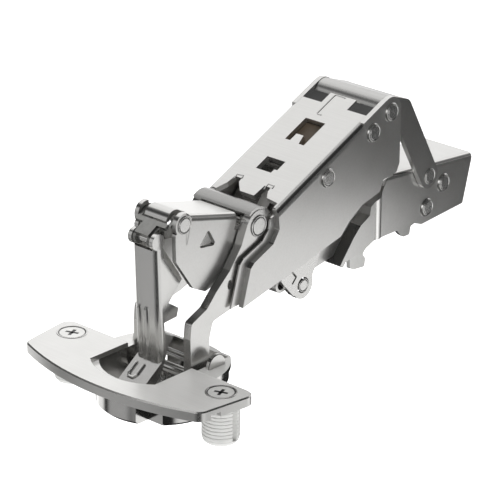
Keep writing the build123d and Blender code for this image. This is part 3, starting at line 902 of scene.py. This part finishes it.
@dataclass
class Levers:
    """The inner and outer levers, the small bridge link and the three-cornered front link.

    Sizes are in millimetres, and web_foot, web_top and the cheek's corners are Y and Z.
    """

    web_foot: Spot = (-4.5, 2.6)
    web_top: Spot = (-5.9, 34.4)
    web_normal: Point = (0, -1, -0.044)
    rib_low: float = 3.6
    rib_high: float = 17.6
    rib_steps: int = 8
    rib_places: Spot = (-2.3, 0.2)
    rib_width: float = 1.7
    rib_height: float = 0.5
    foot_run: Point = (0, -6.7, -4.7)
    foot_normal: Point = (0, -0.574, 0.819)
    loop_start: float = 1.2
    loop_length: float = 4.6
    loop_x: tuple[float, ...] = (-2.5, -2.5, -1.9, -0.5, 0.1, 0.1)
    loop_width: float = 1.2
    loop_height: float = 0.55
    cheek: Profile = ((1.9, 33.9), (2.3, 34.0), (3.95, 40.5), (3.3, 41.1), (1.9, 41.3))
    cheek_inner: float = 6.3
    cheek_outer: float = 7.1
    rivets: tuple[Rivets, ...] = (
        Rivets("front_pivot", "outer_lever", half=10.05, radius=2.9, places=((25.5, 33.0),)),
        Rivets("bridge_pivot", "front_link", half=7.2, radius=2.4, places=((1.3, 39.4),)),
    )

    def web_ribs(self, finish: Finishes) -> None:
        """Raise the two pressed ribs on the inner lever's web and the loop on its foot.

        Args:
            finish: the hinge's finishes.
        """
        mesh = bmesh.new()
        foot_y, foot_z = self.web_foot
        top_y, top_z = self.web_top
        lean = (top_y - foot_y) / (top_z - foot_z)
        for x in self.rib_places:
            path = []
            for step in range(self.rib_steps + 1):
                z = self.rib_low + (self.rib_high - self.rib_low) * step / self.rib_steps
                path.append((x, foot_y + lean * (z - foot_z), z))
            raised_path(mesh, path, self.rib_width, self.rib_height, self.web_normal)
        foot = Vector(self.foot_run).normalized()
        start = Vector((0, foot_y, foot_z)) + foot * self.loop_start
        tip = start + foot * self.loop_length
        places = (start, tip - foot, tip, tip, tip - foot, start)
        path = [(x, place.y, place.z) for x, place in zip(self.loop_x, places)]
        raised_path(mesh, path, self.loop_width, self.loop_height, self.foot_normal)
        ribs = mesh_piece("inner_lever_ribs", mesh, finish.upright)
        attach(ribs, "inner_lever")
        LOG.info("made inner_lever_ribs")

    def link_cheeks(self, finish: Finishes) -> None:
        """Close the front corners of the front link, where its sides meet its bent top.

        Args:
            finish: the hinge's finishes.
        """
        mesh = bmesh.new()
        side_fill(mesh, self.cheek, self.cheek_inner, self.cheek_outer)
        cheeks = mesh_piece("front_link_cheeks", mesh, finish.satin)
        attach(cheeks, "front_link")
        LOG.info("made front_link_cheeks")

    def build(self, nodes: dict[str, bpy.types.Object], finish: Finishes) -> None:
        """Dress the levers and links near the door.

        Args:
            nodes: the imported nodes.
            finish: the hinge's finishes.
        """
        dress(nodes, "inner_lever", finish.upright, Rim.SHEET)
        # painted shade: the bridge link gets the dark copy of the plating
        dress(nodes, "bridge_link", finish.dull, Rim.SHEET)
        dress(nodes, "front_link", finish.satin, Rim.PRESSED)
        dress(nodes, "outer_lever", finish.lever, Rim.PRESSED)
        for name in ("bridge_low_pin", "front_pin", "left_bridge_rivet", "right_bridge_rivet"):
            dress(nodes, name, finish.pin, Rim.FINE)
        for row in self.rivets:
            row.make(finish)
        self.web_ribs(finish)
        self.link_cheeks(finish)


@dataclass
class Arms:
    """The main arm with its liner and damper, the rear and control links, and the base arm.

    Sizes are in millimetres. The marks are X and the way along the top plate, which rises by
    plate_slope degrees from plate_start.
    """

    plate_slope: float = 24.3
    plate_start: Spot = (30.2, 36.4)
    tab_outline: Profile = (
        (1.0, 42.3), (0.6, 42.6), (-2.2, 42.6), (-2.6, 42.2), (-2.6, 34.9), (-2.2, 34.5), (-0.9, 34.5),
    )
    left_notch: Profile = ((-7.2, 5.0), (-7.6, 6.9), (-5.6, 7.2), (-5.3, 6.0))
    right_notch: Profile = ((3.3, 4.8), (3.0, 7.1), (5.0, 7.1), (5.2, 6.0))
    mark_width: float = 0.5
    mark_height: float = 0.14
    rivets: tuple[Rivets, ...] = (
        Rivets(
            "main_arm_rivets", "main_arm", half=12.9, radius=2.35,
            places=((49.0, 40.1), (66.8, 47.8), (74.0, 51.6)),
        ),
        Rivets(
            "base_arm_rivets", "base_arm", half=9.5, radius=2.2, places=((101.5, 23.5), (94.6, 18.2))
        ),
        Rivets("rear_pivot", "base_arm", half=10.8, radius=2.3, places=((93.3, 28.0),)),
        Rivets("control_pivot", "base_arm", half=7.3, radius=1.9, places=((46.2, 9.6),)),
    )

    def plate_marks(self, finish: Finishes) -> None:
        """Press the long tab mark and the marks beside the two front notches into the top plate.

        Args:
            finish: the hinge's finishes.
        """
        slope = math.radians(self.plate_slope)
        rise, run = math.sin(slope), math.cos(slope)
        start_y, start_z = self.plate_start
        mesh = bmesh.new()
        for outline in (self.tab_outline, self.left_notch, self.right_notch):
            path = [(x, start_y + along * run, start_z + along * rise) for x, along in outline]
            raised_path(mesh, path, self.mark_width, self.mark_height, (0, -rise, run))
        mark = mesh_piece("top_plate_mark", mesh, finish.satin)
        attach(mark, "main_arm")
        LOG.info("made top_plate_mark")

    def build(self, nodes: dict[str, bpy.types.Object], finish: Finishes) -> None:
        """Dress the arms and links behind the front link.

        Args:
            nodes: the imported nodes.
            finish: the hinge's finishes.
        """
        dress(nodes, "main_arm", finish.satin, Rim.PRESSED)
        dress(nodes, "arm_liner", finish.satin, Rim.FINE)
        dress(nodes, "damper", finish.damper, Rim.MOULDED)
        # painted shade: the rear link gets the darker copy of the plating
        dress(nodes, "rear_link", finish.link, Rim.PRESSED)
        dress(nodes, "control_link", finish.lever, Rim.SHEET)
        dress(nodes, "base_arm", finish.satin, Rim.PRESSED)
        for word in ("left", "right"):
            dress(nodes, f"{word}_glide", finish.glide, Rim.MOULDED)
            dress(nodes, f"{word}_catch", finish.zinc, Rim.SHEET)
        pins = ("arm_pin", "control_top_pin", "rear_top_pin", "rear_bottom_pin", "control_low_pin")
        for name in pins + ("base_rivet_high", "base_rivet_low"):
            dress(nodes, name, finish.pin, Rim.FINE)
        for row in self.rivets:
            row.make(finish)
        self.plate_marks(finish)


@dataclass(frozen=True)
class Patch:
    """A pale patch of the surround, at full value within inner degrees and gone at outer degrees."""

    direction: Point
    inner: float
    outer: float
    value: float


@dataclass(frozen=True)
class Panel:
    """A soft rectangular light, with places and sizes in millimetres."""

    name: str
    place: Point
    size: Spot
    watts: float
    target: Point = HINGE_MIDDLE
    mirrored: bool = True

    def hang(self) -> None:
        """Hang the light; the camera never shows it, and glossy faces only where it is mirrored."""
        light = bpy.data.lights.new(self.name, "AREA")
        light.shape = "RECTANGLE"
        light.size, light.size_y = self.size[0] * MM, self.size[1] * MM
        light.energy = self.watts
        lamp = bpy.data.objects.new(self.name, light)
        bpy.context.scene.collection.objects.link(lamp)
        lamp.location = Vector(self.place) * MM
        aim = (Vector(self.target) - Vector(self.place)).normalized()
        lamp.rotation_euler = aim.to_track_quat("-Z", "Y").to_euler()
        lamp.visible_camera = False
        lamp.visible_glossy = self.mirrored


@dataclass
class Studio:
    """The floor, the soft surround, the lights and the camera.

    Angles are in degrees. Sizes and places are in millimetres, but nearest and furthest, the reach
    of the camera, are in metres.
    """

    floor_drop: float = 150.0
    floor_size: float = 6000.0
    paper_tone: float = 0.9
    paper_roughness: float = 0.9
    paper_glow: float = 0.75
    azimuth: float = 41.956
    elevation: float = 22.374
    roll: float = 0.7
    lens: float = 201.6
    sensor: float = 36.0
    nearest: float = 0.01
    furthest: float = 20.0
    camera_place: Point = (445.814, -462.525, 295.737)
    patches: tuple[Patch, ...] = (
        Patch((-0.6, 0.55, 0.5), 31.0, 42.0, 1.0),
        Patch((-0.62, 0.78, -0.06), 6.0, 18.0, 0.45),
        Patch((-0.95, 0.06, -0.38), 10.0, 22.0, 1.1),
        Patch((0.74, -0.62, 0.2), 5.0, 16.0, 0.8),
        Patch((0.95, 0.05, -0.3), 14.0, 28.0, 0.9),
        Patch((1.0, -0.35, 0.0), 14.0, 26.0, 0.7),
        Patch((-0.61, -0.72, 0.3), 12.0, 24.0, 0.6),
        Patch((-0.54, -0.7, -0.46), 14.0, 27.0, 0.42),
        Patch((-0.62, -0.1, 0.78), 7.0, 15.0, 0.6),
        Patch((0.0, 0.1, 1.0), 8.0, 20.0, 0.7),
        Patch((0.05, 1.0, 0.3), 16.0, 30.0, 0.8),
        Patch((-0.84, 0.5, -0.26), 12.0, 28.0, 0.6),
        Patch((-0.17, -0.6, 0.78), 10.0, 24.0, 0.7),
        Patch((0.0, -0.98, -0.18), 8.0, 22.0, 0.45),
    )
    ground: float = 0.02
    panels: tuple[Panel, ...] = (
        Panel("key_panel", (-500, 420, 620), (500, 500), 0.15),
        Panel("side_panel", (107, 108, -62), (122, 100), 0.042, target=(12, 7, 0)),
        Panel("top_panel", (-60, -120, 900), (300, 300), 8.0, mirrored=False),
        Panel("front_panel", (700, -300, 200), (300, 300), 1.2, mirrored=False),
    )

    def floor(self) -> None:
        """Lay the plain pale floor well below the hinge, which hangs on its door."""
        mesh = bmesh.new()
        half = self.floor_size / 2 * MM
        corners = [(-half, -half), (half, -half), (half, half), (-half, half)]
        mesh.faces.new([mesh.verts.new((x, y, -self.floor_drop * MM)) for x, y in corners])
        data = bpy.data.meshes.new("floor")
        mesh.to_mesh(data)
        mesh.free()
        floor = bpy.data.objects.new("floor", data)
        bpy.context.scene.collection.objects.link(floor)
        paper = bpy.data.materials.new("floor_paper")
        paper.use_nodes = True
        shader = paper.node_tree.nodes["Principled BSDF"]
        tone = self.paper_tone
        shader.inputs["Base Color"].default_value = (tone, tone, tone, 1)
        shader.inputs["Roughness"].default_value = self.paper_roughness
        shader.inputs["Emission Color"].default_value = (1, 1, 1, 1)
        shader.inputs["Emission Strength"].default_value = self.paper_glow
        data.materials.append(paper)
        floor.visible_glossy = False

    def surround(self) -> None:
        """Build the soft studio surround: a dim room with pale patches that fade at their rims."""
        world = bpy.data.worlds.new("studio")
        bpy.context.scene.world = world
        world.use_nodes = True
        tree = world.node_tree
        place = tree.nodes.new("ShaderNodeTexCoord")
        total: object = self.ground
        for patch in self.patches:
            dot = tree.nodes.new("ShaderNodeVectorMath")
            dot.operation = "DOT_PRODUCT"
            tree.links.new(place.outputs["Generated"], dot.inputs[0])
            dot.inputs[1].default_value = Vector(patch.direction).normalized()
            spread = tree.nodes.new("ShaderNodeMapRange")
            spread.interpolation_type = "SMOOTHSTEP"
            spread.inputs["From Min"].default_value = math.cos(math.radians(patch.outer))
            spread.inputs["From Max"].default_value = math.cos(math.radians(patch.inner))
            spread.inputs["To Max"].default_value = patch.value
            tree.links.new(dot.outputs["Value"], spread.inputs["Value"])
            total = math_node(tree, "ADD", spread.outputs["Result"], total)
        tree.links.new(total, tree.nodes["Background"].inputs["Color"])

    def camera(self) -> None:
        """Set up the camera at the photograph's angle."""
        a, e, r = (math.radians(v) for v in (self.azimuth, self.elevation, self.roll))
        back = Vector((math.sin(a) * math.cos(e), -math.cos(a) * math.cos(e), math.sin(e)))
        level = Vector((math.cos(a), math.sin(a), 0))
        above = back.cross(level)
        right = level * math.cos(r) + above * math.sin(r)
        up = back.cross(right)
        data = bpy.data.cameras.new("camera")
        data.lens = self.lens
        data.sensor_width = self.sensor
        data.clip_start = self.nearest
        data.clip_end = self.furthest
        eye = bpy.data.objects.new("camera", data)
        bpy.context.scene.collection.objects.link(eye)
        turn = Matrix((right, up, back)).transposed().to_4x4()
        eye.matrix_world = Matrix.Translation(Vector(self.camera_place) * MM) @ turn
        bpy.context.scene.camera = eye

    def build(self) -> None:
        """Build the floor, the surround, the panels and the camera."""
        bpy.context.scene.view_settings.view_transform = "Standard"
        self.floor()
        self.surround()
        for panel in self.panels:
            panel.hang()
        self.camera()


def main() -> None:
    """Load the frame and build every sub-assembly."""
    logging.basicConfig(level=logging.INFO, format="%(name)s: %(message)s")
    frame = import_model()
    finish = Finishes(Effects())
    for assembly in (CupAndFlange(), Levers(), Arms()):
        assembly.build(frame["nodes"], finish)
    Studio().build()
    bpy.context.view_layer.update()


if __name__ == "__main__":
    main()
